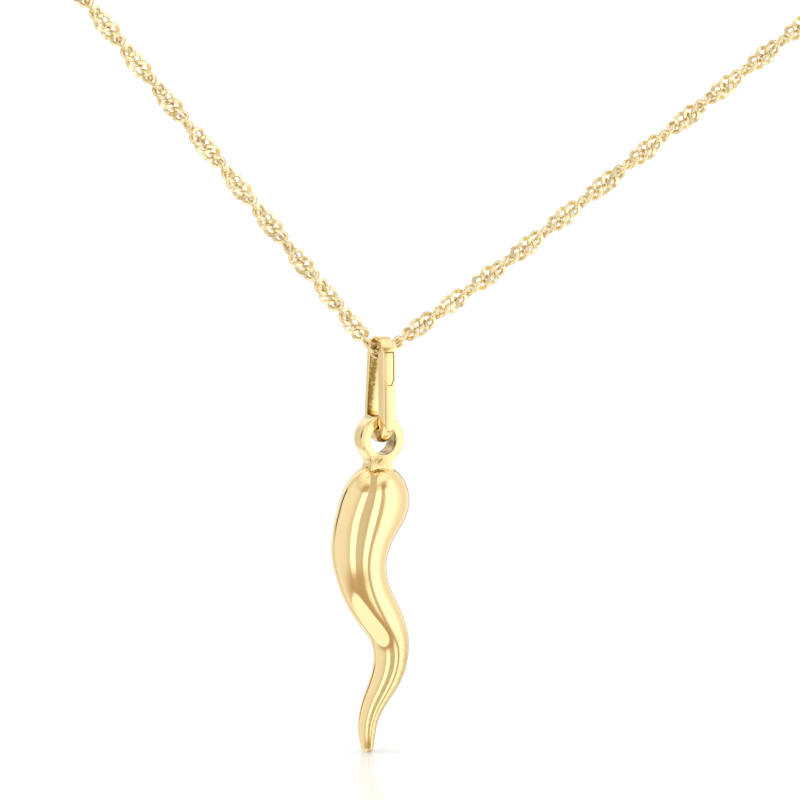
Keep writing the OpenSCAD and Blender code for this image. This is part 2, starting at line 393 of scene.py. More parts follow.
# %% Make the node group for the alloy's colour
def alloy_tone_group():
    tree, given, result = new_group("alloy_tone", {"Tone Scale": 350.0, "Contrast": 1.0}, ["Share"])
    place = add_node(tree, "ShaderNodeTexCoord").outputs["Object"]
    cloud = soft_noise(tree, "slight change of alloy and polish", place, given["Tone Scale"], 3.0, 0.5)
    feed(tree, result["Share"], calculate(tree, "MULTIPLY", cloud, given["Contrast"], clamp=True))
    return tree


# %% [markdown]
# Inside the bail, in the loop's hole, down the sides of the chain's wire and at a few places
# on the horn, a brown tone is painted into the gold's colour as painted shade and painted dark
# reflections. Each piece says point by point how much of it there is, as an attribute of its
# points, and this group breaks it up into small spots. The chain's links also get a little of
# it at random, as a tone that differs from link to link.

# %% Make the node group for the painted shade
# The brown of the painted shade, how much rougher the gold grows under it, and how it breaks into spots.
DARKENING_TONE = (0.31, 0.19, 0.045)
DARKENING_ROUGH = 0.15
SPOT_CONTRAST = 3.2
SPOT_LEVEL = -0.4


def darkening_group():
    inputs = {"Unbuffed": 0.0, "Spot Scale": 5500.0}
    tree, given, result = new_group("painted_darkening", inputs, ["Share"])
    place = add_node(tree, "ShaderNodeTexCoord").outputs["Object"]
    spots = soft_noise(tree, "spots in the film", place, given["Spot Scale"], 2.0, 0.6)
    broken = calculate(tree, "MULTIPLY_ADD", spots, SPOT_CONTRAST, SPOT_LEVEL)
    feed(tree, result["Share"], calculate(tree, "MULTIPLY", broken, given["Unbuffed"], clamp=True))
    return tree


BUFFED = buffed_surface_group()
ALLOY = alloy_tone_group()
DARKENING_GROUP = darkening_group()
print("groups:", BUFFED.name, ALLOY.name, "and", DARKENING_GROUP.name)

# %% Mix the golds
def gold(name, light_tone, deep_tone, haze, waves, wave_scale, hairlines, wave_height):
    """A polished gold. The haze is its least roughness; heights are in millimetres."""
    material = bpy.data.materials.new(name)
    material.use_nodes = True
    tree = material.node_tree
    buff = add_node(tree, "ShaderNodeGroup", node_tree=BUFFED)
    feed_all(tree, buff, Waves=waves, Wave_Scale=wave_scale, Hairlines=hairlines)
    tone = add_node(tree, "ShaderNodeGroup", node_tree=ALLOY).outputs["Share"]
    clean = mix_colours(tree, tone, (*light_tone, 1), (*deep_tone, 1))
    # Painted shade: a brown tone mixed into the colour, with a little more roughness, where the piece's
    # point attribute asks for it.
    darkening = add_node(tree, "ShaderNodeGroup", node_tree=DARKENING_GROUP)
    painted_shade_and_tone = add_node(tree, "ShaderNodeAttribute", attribute_name="painted_shade_and_tone")
    feed_all(tree, darkening, Unbuffed=painted_shade_and_tone.outputs["Fac"])
    filmed = mix_colours(tree, darkening.outputs["Share"], clean, (*DARKENING_TONE, 1), "gold under the film")
    rough = calculate(tree, "MULTIPLY_ADD", buff.outputs["Haze"], haze, haze)
    rougher = calculate(tree, "MULTIPLY_ADD", darkening.outputs["Share"], DARKENING_ROUGH, rough)
    bump = add_node(tree, "ShaderNodeBump")
    feed_all(tree, bump, Strength=1.0, Distance=wave_height * MM, Height=buff.outputs["Height"])
    feed_all(tree, tree.nodes["Principled BSDF"], Metallic=1.0, Base_Color=filmed, Roughness=rougher,
             Normal=bump.outputs["Normal"])
    return material


HORN_GOLD = gold("horn_gold", (0.97, 0.78, 0.42), (0.94, 0.71, 0.35), 0.04, 1.0, 520.0, 1.0, 0.008)
BAIL_GOLD = gold("bail_gold", (0.96, 0.77, 0.41), (0.92, 0.69, 0.34), 0.06, 1.0, 1500.0, 1.0, 0.004)
CHAIN_GOLD = gold("chain_gold", (1.0, 0.88, 0.58), (0.95, 0.79, 0.47), 0.14, 0.5, 3500.0, 1.0, 0.002)
CLASP_GOLD = gold("clasp_gold", (0.97, 0.79, 0.42), (0.93, 0.72, 0.35), 0.07, 1.0, 900.0, 1.0, 0.004)
print("golds:", HORN_GOLD.name, BAIL_GOLD.name, CHAIN_GOLD.name, CLASP_GOLD.name)

# %% [markdown]
# ## From rings of points to a skin
# All the pieces are skins over rings of points, because a mirror finish shows every dent
# and rings laid by a formula have none. One helper turns a stack of rings into faces and
# one makes the piece and says which body it moves with.

# %% Define the skin helpers
def skin_faces(rings, points_a_ring, first=0, joined_ends=False):
    """Four-sided faces between neighbouring rings of points."""
    ring = np.arange(rings if joined_ends else rings - 1)[:, None]
    side = np.arange(points_a_ring)[None, :]
    here, there = ring * points_a_ring, ((ring + 1) % rings) * points_a_ring
    nxt = (side + 1) % points_a_ring
    faces = np.stack([here + side, here + nxt, there + nxt, there + side], axis=-1)
    return (faces.reshape(-1, 4) + first).tolist()


def make_piece(name, points, faces, material, body, nodes, crease=30, painted_shade_and_tone=None):
    """A mesh piece from points in millimetres. Edges sharper than crease stay crisp."""
    mesh = bpy.data.meshes.new(name)
    mesh.from_pydata((np.asarray(points) * MM).tolist(), [], faces)
    mesh.validate()
    # How much painted shade each point gets, and on the chain a random tone per link as well.
    if painted_shade_and_tone is not None:
        darkening_layer = mesh.attributes.new("painted_shade_and_tone", "FLOAT", "POINT")
        darkening_layer.data.foreach_set("value", np.asarray(painted_shade_and_tone, np.float32).ravel())
    mesh.polygons.foreach_set("use_smooth", [True] * len(mesh.polygons))
    mesh.set_sharp_from_angle(angle=math.radians(crease))
    mesh.materials.append(material)
    piece = bpy.data.objects.new(name, mesh)
    bpy.context.scene.collection.objects.link(piece)
    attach(piece, body)
    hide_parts(*nodes)
    print(name, len(mesh.polygons), "faces")


# %% [markdown]
# ## The horn
# The charm is one casting. Its body swells from a round shoulder, then bends left, right
# and left again as it thins to a blunt tip. The table gives its sections, evenly spaced
# from the widest place to the tip. A natural cubic curve runs through them,
# because a curve whose bend changes suddenly would show as a kink in the reflections.
#
# The lower sections are ovals turned a little: their right side comes forward, towards the
# camera, and their left side goes back. The outline in the photograph doesn't show it,
# but the bright stripes do, because they run to the right of the horn's middle. Painted
# shade darkens the crease round the neck and the right of the thin end, where the gold would
# mirror the floor close under it, and a painted dark reflection sits on the tip's front,
# where it would mirror its own contact shadow.

# %% Give the horn's sections
HORN_W = 4.3
SHOULDER_H = 2.7
TAPER_H = 14.35
TIP_H = 0.25
TOP_SHIFT = -0.03
TAPER = [
    # [sideways shift, width, depth] as shares of the horn's width
    (-0.090, 1.000, 0.975), (-0.145, 0.985, 0.915), (-0.215, 0.905, 0.850),
    (-0.270, 0.830, 0.805), (-0.295, 0.775, 0.770), (-0.285, 0.738, 0.730),
    (-0.247, 0.718, 0.690), (-0.185, 0.725, 0.667), (-0.102, 0.734, 0.650),
    (-0.012, 0.712, 0.628), (0.075, 0.645, 0.585), (0.153, 0.555, 0.535),
    (0.180, 0.495, 0.494), (0.167, 0.468, 0.460), (0.121, 0.457, 0.432),
    (0.046, 0.435, 0.392), (-0.048, 0.380, 0.342), (-0.126, 0.314, 0.296),
    (-0.172, 0.268, 0.265), (-0.184, 0.232, 0.232), (-0.175, 0.172, 0.172),
]
FORWARD = [
    # how far each section's right side comes forward, as a share of its sideways reach
    -0.04, 0.02, 0.08, 0.12, 0.13, 0.12, 0.10, 0.07, 0.05, 0.05, 0.08,
    0.16, 0.22, 0.25, 0.26, 0.27, 0.29, 0.32, 0.34, 0.34, 0.34,
]


def smooth_rows(rows, steps):
    """A natural cubic curve through evenly spaced rows, with some steps between each two."""
    rows = np.array(rows, float)
    count = len(rows)
    grid = np.eye(count)
    bend = np.zeros_like(rows)
    for i in range(1, count - 1):
        grid[i, i - 1:i + 2] = (1, 4, 1)
        bend[i] = 6 * (rows[i - 1] - 2 * rows[i] + rows[i + 1])
    second = np.linalg.solve(grid, bend)
    place = np.arange((count - 1) * steps + 1) / steps
    i = np.minimum(place.astype(int), count - 2)
    t = (place - i)[:, None]
    return (
        (1 - t) * rows[i] + t * rows[i + 1]
        + ((1 - t) ** 3 - (1 - t)) * second[i] / 6 + (t ** 3 - t) * second[i + 1] / 6
    )


# %% Shape the horn's profile
ROW_STEPS = 12
SHOULDER_RINGS = 72
TIP_RINGS = 10
SOFTEN_OVER = 9
TOP_ANGLE = 0.04
PIT_R = 0.075
PIT_DEPTH = 0.07
PIT_ROWS = [(0, 2), (0.2, 1.8), (1, 0.8)]  # [share of the pit's depth, width in pit radii]


def soften(columns, reach):
    """Average each place with its neighbours, so that the shoulder runs into the taper."""
    weights = np.hanning(2 * reach + 3)[1:-1]
    weights /= weights.sum()
    before = 2 * columns[0] - columns[reach:0:-1]
    after = 2 * columns[-1] - columns[-2:-reach - 2:-1]
    padded = np.vstack([before, columns, after])
    return np.array([
        np.convolve(padded[:, k], weights, mode="valid") for k in range(columns.shape[1])
    ]).T


def horn_profile():
    """Rows [height, shift, width, depth] in mm, from the shoulder's top to the tip."""
    first, last = TAPER[0], TAPER[-1]
    angle = np.linspace(TOP_ANGLE, math.pi / 2, SHOULDER_RINGS, endpoint=False)
    down = 1 - np.cos(angle)
    shoulder = np.stack([
        -SHOULDER_H * down,
        HORN_W * (TOP_SHIFT + (first[0] - TOP_SHIFT) * down ** 2),
        HORN_W * first[1] * np.sin(angle),
        HORN_W * first[2] * np.sin(angle),
    ], axis=1)
    curve = smooth_rows(TAPER, ROW_STEPS) * HORN_W
    height = -SHOULDER_H - TAPER_H * np.linspace(0, 1, len(curve))
    body = soften(np.vstack([shoulder, np.column_stack([height, curve])]), SOFTEN_OVER)
    end = body[-1]
    angle = np.linspace(0, math.pi / 2, TIP_RINGS + 1)[1:-1]
    tip = np.stack([
        end[0] - TIP_H * np.sin(angle),
        np.full(len(angle), end[1]),
        end[2] * np.cos(angle),
        end[3] * np.cos(angle),
    ], axis=1)
    bottom = end[0] - TIP_H
    pit = [[bottom + PIT_DEPTH * deep, end[1], wide * PIT_R, wide * PIT_R] for deep, wide in PIT_ROWS]
    return np.vstack([body, tip, pit])


# %% Cast the horn's body
HORN_SIDES = 96
FORWARD_SPREAD = 25
NECK_HALF = 0.66
NECK_SHIFT = -0.1
NECK_FLARE = 0.12
LOOP_DEPTH = 1.48
# Painted shade in the crease round the neck and on the right of the thin end, and a painted dark reflection
# on the tip's front.
CREASE_SHADE = 0.45
CREASE_REACH = 0.1
CREASE_DOWN = 0.6
THIN_END_SHADE = 0.16
THIN_END_FROM, THIN_END_RUN = -16.0, 2.5
TIP_SPOT_UP, TIP_SPOT_HIGH, TIP_SPOT_WIDE = 0.09, 0.05, 0.13


def ease(value):
    """From 0 to 1 with a soft start and end."""
    value = np.clip(value, 0, 1)
    return value * value * (3 - 2 * value)


def soft_spot(*offsets):
    """1 in a spot's middle, from offsets that are given as shares of its half sizes."""
    return np.exp(-sum(offset ** 2 for offset in offsets))


def make_horn_body():
    profile = horn_profile()
    turn = np.linspace(0, 2 * math.pi, HORN_SIDES, endpoint=False)
    rings = np.stack([
        profile[:, 2, None] / 2 * np.cos(turn),
        profile[:, 3, None] / 2 * np.sin(turn),
        np.repeat(SHOULDER_TOP + profile[:, 0, None], HORN_SIDES, axis=1),
    ], axis=-1)
    row = (-profile[:, 0] - SHOULDER_H) / TAPER_H * (len(TAPER) - 1)
    forward = np.interp(row, np.arange(len(FORWARD)), FORWARD)
    forward = np.convolve(np.pad(forward, FORWARD_SPREAD // 2, mode="edge"),
                          np.ones(FORWARD_SPREAD) / FORWARD_SPREAD, mode="valid")
    rings += (rings @ ACROSS * forward[:, None])[..., None] * AHEAD
    rings[..., 0] += profile[:, 1, None]
    x, y, z = rings[..., 0], rings[..., 1], rings[..., 2]
    foot = 1 + NECK_FLARE
    from_neck = np.maximum(abs(x - NECK_SHIFT) - NECK_HALF * foot, abs(y) - LOOP_DEPTH / 2 * foot)
    # Painted shade round the neck and on the right of the thin end; a painted dark reflection on the tip's
    # front.
    darkening = CREASE_SHADE * np.clip(1 - abs(from_neck) / CREASE_REACH, 0, 1)
    darkening *= z > SHOULDER_TOP - CREASE_DOWN
    darkening += THIN_END_SHADE * ease((THIN_END_FROM - z) / THIN_END_RUN) * (1 + np.cos(turn))
    up, aside = z - z.min() - TIP_SPOT_UP, x - profile[-1, 1]
    darkening += soft_spot(up / TIP_SPOT_HIGH, aside / TIP_SPOT_WIDE) * (y < 0)
    rings[..., 1] += SLOT_BACK
    points = PIVOT + rings.reshape(-1, 3)
    faces = skin_faces(len(profile), HORN_SIDES)
    faces.append(list(range(HORN_SIDES)))
    faces.append([(len(profile) - 1) * HORN_SIDES + k for k in range(HORN_SIDES - 1, -1, -1)])
    make_piece("horn_body", points, faces, HORN_GOLD, "horn", ["horn"], crease=50, painted_shade_and_tone=darkening)


make_horn_body()

# %% [markdown]
# ## The horn's loop
# The loop is cast with the horn. It is a short, thick-walled tube lying front to back, a
# little taller above its hole than beside it. Below it runs straight into a square neck,
# which widens a little and sinks into the shoulder with a sharp line where they meet.
# A ray from the loop's middle reaches the outline just once at any angle, so sections laid
# round that middle give clean sides and even, softly rounded edges.

# %% Draw the loop's outline and section
NECK_FROM = -1.42
NECK_DOWN = -1.98
LOOP_TOP_R = 1.53
HOLE_HALF_WIDE = 0.81
LOOP_EDGE = 0.16
HOLE_EDGE = 0.05
# Painted shade on the wall of the loop's hole.
HOLE_SHADE = 0.6
EDGE_STEPS = 8
FACE_STEPS = 7


def box_section(half_deep, low, high, low_edge, high_edge, across=3, along=0):
    """A rounded rectangle as (place along the wall's thickness, place across its width).

    Its sides get extra points: some across the two walls and some along the two faces."""
    quarter = np.linspace(0, math.pi / 2, EDGE_STEPS)
    high_side, low_side = half_deep - high_edge, half_deep - low_edge
    faces = np.linspace(high - high_edge, low + low_edge, along + 2)[1:-1]
    high_wall = np.linspace(high_side, -high_side, across + 2)[1:-1]
    low_wall = np.linspace(-low_side, low_side, across + 2)[1:-1]

    def corner(r, y, edge, angles):
        return [(r + edge * math.cos(a), y + edge * math.sin(a)) for a in angles]

    return [
        *corner(high - high_edge, high_side, high_edge, quarter[::-1]),
        *[(high, y) for y in high_wall],
        *corner(high - high_edge, -high_side, high_edge, -quarter),
        *[(r, -half_deep) for r in faces],
        *corner(low + low_edge, -low_side, low_edge, -math.pi / 2 - quarter),
        *[(low, y) for y in low_wall],
        *corner(low + low_edge, low_side, low_edge, math.pi - quarter),
        *[(r, half_deep) for r in faces[::-1]],
    ]


def loop_reach(angle):
    """From the loop's middle to its outline, at an angle from straight down."""
    side = abs(math.atan2(math.sin(angle), math.cos(angle)))
    down, out = math.cos(side), math.sin(side)
    corner = np.array([NECK_HALF, NECK_FROM])
    far = math.hypot(*corner)
    touch_turn = math.atan2(NECK_HALF, -NECK_FROM) + math.acos(LOOP_R / far)
    if down < 0:
        return 1 / math.hypot(out / LOOP_R, down / LOOP_TOP_R)
    if side >= touch_turn:
        return LOOP_R
    touch = LOOP_R * np.array([math.sin(touch_turn), -math.cos(touch_turn)])
    if out > 0 and down * NECK_HALF / out < -NECK_FROM:
        run = touch - corner
        return (corner[0] * run[1] - corner[1] * run[0]) / (out * run[1] + down * run[0])
    if out > 0 and down * NECK_HALF / out < -NECK_DOWN:
        return NECK_HALF / out
    return -NECK_DOWN / down


# %% Cast the loop
LOOP_SECTIONS = 360
SHIFT_FROM, SHIFT_RUN = 0.95, 0.5
FLARE_FROM, FLARE_RUN = 1.4, 0.4
# A patch of painted shade on the front, where the loop runs into the neck.
NECK_SHADE = 0.65
NECK_SPOT_X, NECK_SPOT_WIDE = -0.3, 0.42
NECK_SPOT_Z, NECK_SPOT_HIGH = -1.2, 0.28


def make_loop():
    middle = PIVOT + np.array([0, SLOT_BACK, LOOP_Z])
    points, darkening = [], []
    for angle in np.linspace(-math.pi, math.pi, LOOP_SECTIONS, endpoint=False):
        hole = 1 / math.hypot(math.sin(angle) / HOLE_HALF_WIDE, math.cos(angle) / LOOP_HOLE_R)
        section = box_section(
            LOOP_DEPTH / 2, hole, loop_reach(angle), HOLE_EDGE, LOOP_EDGE, along=FACE_STEPS)
        for r, y in section:
            drop = r * math.cos(angle)
            shift = NECK_SHIFT * ease((drop - SHIFT_FROM) / SHIFT_RUN)
            flare = 1 + NECK_FLARE * ease((drop - FLARE_FROM) / FLARE_RUN)
            points.append(middle + [r * math.sin(angle) * flare + shift, y * flare, -drop])
        # Painted shade on the hole's wall and in a patch on the neck's front.
        darkening += [HOLE_SHADE * (r < hole + HOLE_EDGE / 2) for r, y in section]
    x, y, z = (np.array(points) - middle).T
    spot = soft_spot((x - NECK_SPOT_X) / NECK_SPOT_WIDE, (z - NECK_SPOT_Z) / NECK_SPOT_HIGH)
    darkening += NECK_SHADE * spot * (y < 0)
    faces = skin_faces(LOOP_SECTIONS, len(points) // LOOP_SECTIONS, joined_ends=True)
    make_piece("horn_loop", points, faces, HORN_GOLD, "horn", ["horn"], crease=40, painted_shade_and_tone=darkening)


make_loop()

# %% [markdown]
# ## The bail
# The bail is a flat band bent into a long oval, thin behind and thick in front, with a
# round bar at its foot for the loop. Seen from the side it is two outlines, each wrapped
# round three circles, so both can be walked with the same steps and joined by sections.
# The sections are almost square along the band and grow round towards the bar. On the
# front is a shallow, blank panel with cut lower corners.

# %% Walk round the bail's two outlines
BAIL_W = 0.77
FRONT, BACK, LOW_FRONT, LOW_BACK = -1.58, 1.05, -1.66, 1.48
BAIL_TOP = 0.86
BAIL_FOOT = -5.49
BAIL_LOW_R = 1.35
SLOT_HALF_TOP = 0.65
THROAT_R = 0.53
SLOT_HALF_LOW = 0.805
SLOT_SLACK = 0.2
SLOT_CORNER_R = 0.1
ARC_STEPS = (60, 26, 26)
LINE_STEPS = (150, 30, 60)


def wrap(circles):
    """Points and outward normals round a band that is laid over circles [y, z, r]."""
    touches = []
    for i, a in enumerate(circles):
        b = circles[(i + 1) % len(circles)]
        along = np.array(b[:2]) - np.array(a[:2])
        reach = np.hypot(*along)
        lean = (a[2] - b[2]) / reach
        u = along / reach
        touches.append(math.atan2(u[1] * lean - u[0] * math.sqrt(1 - lean ** 2),
                                  u[0] * lean + u[1] * math.sqrt(1 - lean ** 2)))
    points, normals = [], []
    for i, a in enumerate(circles):
        start, stop = touches[i - 1], touches[i]
        stop += 2 * math.pi * (stop < start)
        for angle in np.linspace(start, stop, ARC_STEPS[i], endpoint=False):
            n = np.array([math.cos(angle), math.sin(angle)])
            points.append(np.array(a[:2]) + a[2] * n)
            normals.append(n)
        b = circles[(i + 1) % len(circles)]
        n = np.array([math.cos(stop), math.sin(stop)])
        p, q = np.array(a[:2]) + a[2] * n, np.array(b[:2]) + b[2] * n
        for t in np.linspace(0, 1, LINE_STEPS[i], endpoint=False):
            points.append(p + (q - p) * t)
            normals.append(n)
    return np.array(points), np.array(normals)


top_r = (BACK - FRONT) / 2
outside, outward = wrap([
    ((FRONT + BACK) / 2, BAIL_TOP - top_r, top_r),
    (LOW_FRONT + BAIL_LOW_R, BAIL_FOOT + BAIL_LOW_R, BAIL_LOW_R),
    (LOW_BACK - BAIL_LOW_R, BAIL_FOOT + BAIL_LOW_R, BAIL_LOW_R),
])
inside, _ = wrap([
    (0, THROAT_R - SLOT_HALF_TOP, SLOT_HALF_TOP),
    (SLOT_BACK - SLOT_HALF_LOW + SLOT_CORNER_R, BAR_TOP + SLOT_CORNER_R, SLOT_CORNER_R),
    (SLOT_BACK + SLOT_HALF_LOW + SLOT_SLACK - SLOT_CORNER_R, BAR_TOP + SLOT_CORNER_R, SLOT_CORNER_R),
])
print("bail outlines of", len(outside), "steps")

# %% Choose how round the band's edges are
BAND_EDGE = 0.075
FACE_EDGE = 0.06
FACE_BULGE = 0.015
BAR_EDGE = 0.36
MOUTH_EDGE = 0.25
PANEL_HALF = 0.30
PANEL_TOP = -0.02
PANEL_FOOT = -2.03
PANEL_CUT_WIDE = 0.15
PANEL_CUT_HIGH = 0.38
PANEL_DEPTH = 0.05
PANEL_WALL = 0.06


OUTER_ROUNDS = (BAR_TOP + 0.3, 0.8)  # [height where it starts, run]
INNER_ROUNDS = (BAR_TOP + 0.12, 0.1)
MOUTH_ROUNDS = (-0.35, 0.5)


def outer_edge(z):
    """The outer edge grows round slowly, from a little above the bar."""
    start, run = OUTER_ROUNDS
    return FACE_EDGE + (BAR_EDGE - FACE_EDGE) * ease((start - z) / run)


def inner_edge(z):
    """The inner edge grows round at once on the bar, and again at the mouth for the chain."""
    at_bar = ease((INNER_ROUNDS[0] - z) / INNER_ROUNDS[1]) * (BAR_EDGE - BAND_EDGE)
    at_mouth = ease((z - MOUTH_ROUNDS[0]) / MOUTH_ROUNDS[1]) * (MOUTH_EDGE - BAND_EDGE)
    return BAND_EDGE + at_bar + at_mouth


def panel_share(x, z):
    """1 on the panel's floor, 0 on the band round it, with steep walls between."""
    inner = np.minimum(PANEL_HALF - abs(x), np.minimum(PANEL_TOP - z, z - PANEL_FOOT))
    cut = (PANEL_HALF - abs(x)) * PANEL_CUT_HIGH + (z - PANEL_FOOT - PANEL_CUT_HIGH) * PANEL_CUT_WIDE
    cut /= math.hypot(PANEL_CUT_WIDE, PANEL_CUT_HIGH)
    return ease(np.minimum(inner, cut) / PANEL_WALL)


# %% Say where painted shade darkens the bail
# Painted shade: a patch on the back wall inside, the inner front wall, a line round the panel's wall and
# the foot's underside; and a darker mark where the band turns under.
PATCH_AT = 0.04
PATCH_RUN = 0.092
PATCH_HALF = 0.22
PATCH_SHADE = 1.1
FRONT_WALL_SHADE = 0.7
PANEL_LINE_SHADE = 10
MARK_AT, MARK_HALF, MARK_Z, MARK_HIGH, MARK_DARKNESS = 0.1, 0.22, -4.74, 0.05, 0.6
UNDER_SHADE = 1.2


def shade_inside(x, y, z):
    """Painted shade inside: a patch lies slanting on the back wall, and the front wall is covered all over.
    """
    patch = soft_spot((x - PATCH_AT - PATCH_RUN * z) / PATCH_HALF)
    return PATCH_SHADE * patch if y > 0.3 and z > BAR_TOP + 0.1 else FRONT_WALL_SHADE


def darkening_outside(x, z, panel):
    """Painted shade in a line round the panel's wall and on the foot's underside, and a dark mark where the
    band turns under.
    """
    line = PANEL_LINE_SHADE * panel * (1 - panel)
    bow = 0.3 * (x - MARK_AT) ** 2
    mark = MARK_DARKNESS * soft_spot((z - MARK_Z - bow) / MARK_HIGH) * (abs(x - MARK_AT) < MARK_HALF)
    under = UNDER_SHADE * ease((BAIL_FOOT + 0.2 - z) / 0.15)
    return line + mark + under


# %% Bend the bail
FACE_COLUMNS = 31
MOST_EDGE = 0.49
LEAST_FLAT = 0.02
FACES_FRONT = 0.5


def make_bail():
    points, darkening = [], []
    for out, n, inn in zip(outside, outward, inside):
        wall = np.hypot(*(out - inn))
        across = (out - inn) / wall
        high_edge = min(outer_edge(out[1]), MOST_EDGE * wall)
        low_edge = min(inner_edge(inn[1]), wall - high_edge - LEAST_FLAT)
        for r, x in box_section(BAIL_W / 2, 0, wall, low_edge, high_edge, across=FACE_COLUMNS):
            y, z = inn + across * r
            panel = 0
            if -n[0] > FACES_FRONT and r > wall - 1e-6:
                panel = panel_share(x, z)
                bulge = FACE_BULGE * ease((-n[0] - FACES_FRONT) / 0.4)
                y += PANEL_DEPTH * panel - bulge * (1 - (x / (BAIL_W / 2 - high_edge)) ** 2)
            points.append(PIVOT + [x, y, z])
            # Painted shade inside the band and on its outer front.
            darkening.append(shade_inside(x, y, z) if r < low_edge / 2 else darkening_outside(x, z, panel) * (y < 0))
    faces = skin_faces(len(outside), len(points) // len(outside), joined_ends=True)
    make_piece("bail_band", points, faces, BAIL_GOLD, "bail", ["bail"], crease=40, painted_shade_and_tone=darkening)


make_bail()

# %% [markdown]
# ## The chain's way
# The chain hangs in a V at the front and then bends back round the neck to the clasp. The
# corners of its way are the solid model's own, with a bend radius for each. A frame that
# never turns about its own way is carried along it, so that only the chain's own twist
# shows. Points a twentieth of a millimetre apart are near enough to place any link.

# %% Lay out the chain's way
CLASP_Y = 0.6
WAY_ENDS = (-3.95, 2.7)
ROUTE = [
    # [x, y, z, bend radius]
    (-32, 0.6, -1, 55), (-61, -30, -8, 45), (-62, -87, -24, 45), (-43, -123, -40, 32),
    (-10, -123, -78.25, 0.7), (-2, -123, -73.05, 30),
    (44, -123, -40, 32), (63, -87, -24, 45), (61, -30, -8, 45), (32, 0.6, -1, 55),
]
WAY_STEP = 0.05


def chain_way(start, stop):
    """Points along the way, straight between the corners' arcs."""
    corners = [np.array(start)] + [np.array(row[:3], float) for row in ROUTE] + [np.array(stop)]
    points, at = [corners[0]], corners[0]
    for i, (*_, radius) in enumerate(ROUTE, start=1):
        u, v = corners[i - 1] - corners[i], corners[i + 1] - corners[i]
        u, v = u / np.linalg.norm(u), v / np.linalg.norm(v)
        turn = math.pi - math.acos(u @ v)
        reach = radius * math.tan(turn / 2)
        middle = corners[i] + (u + v) / np.linalg.norm(u + v) * radius / math.cos(turn / 2)
        a, b = corners[i] + u * reach - middle, corners[i] + v * reach - middle
        run = np.linalg.norm(middle + a - at)
        for t in np.arange(1, int(run / WAY_STEP)) * WAY_STEP / run:
            points.append(at + (middle + a - at) * t)
        for t in np.linspace(0, 1, max(8, int(radius * turn / WAY_STEP))):
            points.append(middle + (a * math.sin((1 - t) * turn) + b * math.sin(t * turn)) / math.sin(turn))
        at = points[-1]
    run = np.linalg.norm(corners[-1] - at)
    for t in np.arange(1, int(run / WAY_STEP) + 1) * WAY_STEP / run:
        points.append(at + (corners[-1] - at) * t)
    return np.array(points)


def carried_frame(points):
    """Tangents and two side directions that never turn about the way."""
    tangents = np.gradient(points, axis=0)
    tangents /= np.linalg.norm(tangents, axis=1)[:, None]
    side = np.cross(tangents[0], [0, 0, 1.0])
    sides = []
    for t in tangents:
        side = side - t * (side @ t)
        side /= np.linalg.norm(side)
        sides.append(side)
    sides = np.array(sides)
    return tangents, sides, np.cross(tangents, sides)


way = chain_way(*[(end, CLASP_Y, 0) for end in WAY_ENDS])
tangents, sides, risers = carried_frame(way)
length_to = np.concatenate([[0], np.cumsum(np.linalg.norm(np.diff(way, axis=0), axis=1))])
AT_BAIL = length_to[np.argmin(np.linalg.norm(way - PIVOT, axis=1))]
LINK_PITCH = 0.6
middles = np.arange(AT_BAIL % LINK_PITCH + LINK_PITCH, length_to[-1], LINK_PITCH)
print("chain", round(length_to[-1], 1), "mm long, through the bail at", round(AT_BAIL, 1), "mm")

# %% [markdown]
# ## The chain's twist
# A link seen flat makes the chain wide, and a link seen on its edge makes it narrow. The
# photograph shows where the narrow places are on both strands, as distances from the bail.
# Between two of them the ribbon makes half a turn. Behind the picture's edge it goes on at
# its usual rate, and the first and last links stand upright in the clasp's level rings.

# %% Find the twist from the narrow places
NARROW_LEFT = [24.6, 21.7, 18.4, 14.9, 12.0, 8.85, 5.9, 3.6, 0.98]
NARROW_RIGHT = [1.85, 4.41, 6.85, 9.75, 12.9, 15.9, 19.3, 22.7, 25.8, 29.0, 32.0]
HALF_TURN_RUN = 3.0


def edge_on_angle(run):
    """The twist at which the ribbon shows its edge to the camera, at a length of the way."""
    i = np.searchsorted(length_to, run)
    return math.atan2(TO_CAMERA @ risers[i], TO_CAMERA @ sides[i])


def upright_angle(run, wanted):
    """The twist nearest to the wanted one at which a link stands upright."""
    i = np.searchsorted(length_to, run)
    upright = math.atan2(-sides[i][1], risers[i][1])
    return upright + math.pi * round((wanted - upright) / math.pi)


def twist_points():
    """Pairs [length, twist] that the twist runs through."""
    pairs = []
    for k, reach in enumerate(NARROW_LEFT):
        pairs.append([AT_BAIL - reach, edge_on_angle(AT_BAIL - reach) + k * math.pi])
    last_left = pairs[-1]
    first_right = edge_on_angle(AT_BAIL + NARROW_RIGHT[0])
    wanted = last_left[1] + math.pi * (NARROW_LEFT[-1] + NARROW_RIGHT[0]) / HALF_TURN_RUN
    first_right += math.pi * round((wanted - first_right) / math.pi)
    for k, reach in enumerate(NARROW_RIGHT):
        pairs.append([AT_BAIL + reach, first_right + k * math.pi])
    rate = math.pi / HALF_TURN_RUN
    start, stop = pairs[0], pairs[-1]
    first, last = middles[0], middles[-1]
    pairs.insert(0, [first, upright_angle(first, start[1] - (start[0] - first) * rate)])
    pairs.append([last, upright_angle(last, stop[1] + (last - stop[0]) * rate)])
    return np.array(pairs)


twist_pairs = twist_points()
print("twist from", round(twist_pairs[0, 1], 1), "to", round(twist_pairs[-1, 1], 1), "radians")

# %% [markdown]
# ## One link
# A link is a ring of wire, rolled flat and cut with a diamond tool, which leaves flat,
# mirror-like faces with crisp edges. Each link holds the next one on either side. It is
# turned about 36 degrees from the one before, and its ends are warped a little against
# that turn, so that neighbours pass through each other without touching.

# %% Bend one link
LINK_HALF_LONG = 0.455
LINK_HALF_WIDE = 0.465
LINK_WARP = -0.08
WIRE_WIDE = 0.26
WIRE_THICK = 0.20
